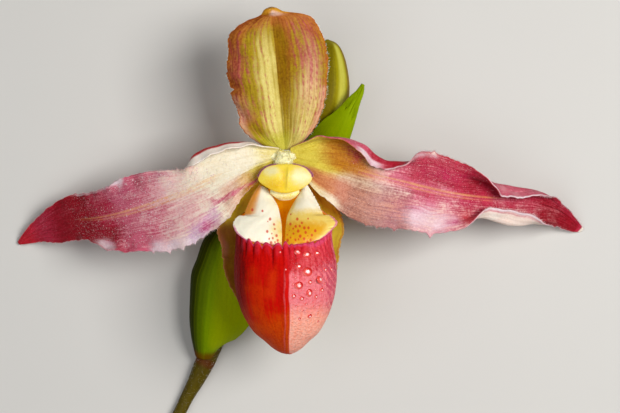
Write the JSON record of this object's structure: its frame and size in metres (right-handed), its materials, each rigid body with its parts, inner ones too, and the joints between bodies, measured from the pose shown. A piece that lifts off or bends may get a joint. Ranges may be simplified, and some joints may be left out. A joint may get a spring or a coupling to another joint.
{
  "type": "phragmipedium orchid",
  "caption": "Open slipper orchid bloom with long waved petals, a red pouch and a hooded sepal, with a bud and bracts on a cut flower stem that lies on its back.",
  "frame": {"origin": "the middle of the surface that the cut spray lies on, under the middle of its bounding box", "axes": "+X across the bloom to its right as seen from in front, +Y up the bloom towards the dorsal sepal's tip, +Z out of the bloom, away from the surface it lies on"},
  "size_m": [0.1461, 0.1128, 0.0436],
  "materials": {
    "petal": "matte, fleshy and faintly velvety",
    "dorsal_sepal": "matte, fleshy",
    "synsepal": "matte, fleshy",
    "lip": "waxy, with a soft gloss",
    "column": "matte, downy",
    "staminode": "satin",
    "anther": "matte",
    "bract": "satin leaf",
    "bud": "satin leaf",
    "ovary": "matte, downy",
    "stem": "matte, downy"
  },
  "bodies": {
    "root": {"flower_stem": "stem", "lower_bract": "bract", "upper_bract": "bract", "ovary": "ovary", "dorsal_sepal": "dorsal_sepal", "petal_left": "petal", "petal_right": "petal", "synsepal": "synsepal", "lip": "lip", "column": "column", "staminode": "staminode", "anther_left": "anther", "anther_right": "anther", "bud": "bud", "bud_ovary": "ovary"}
  },
  "joints": []
}
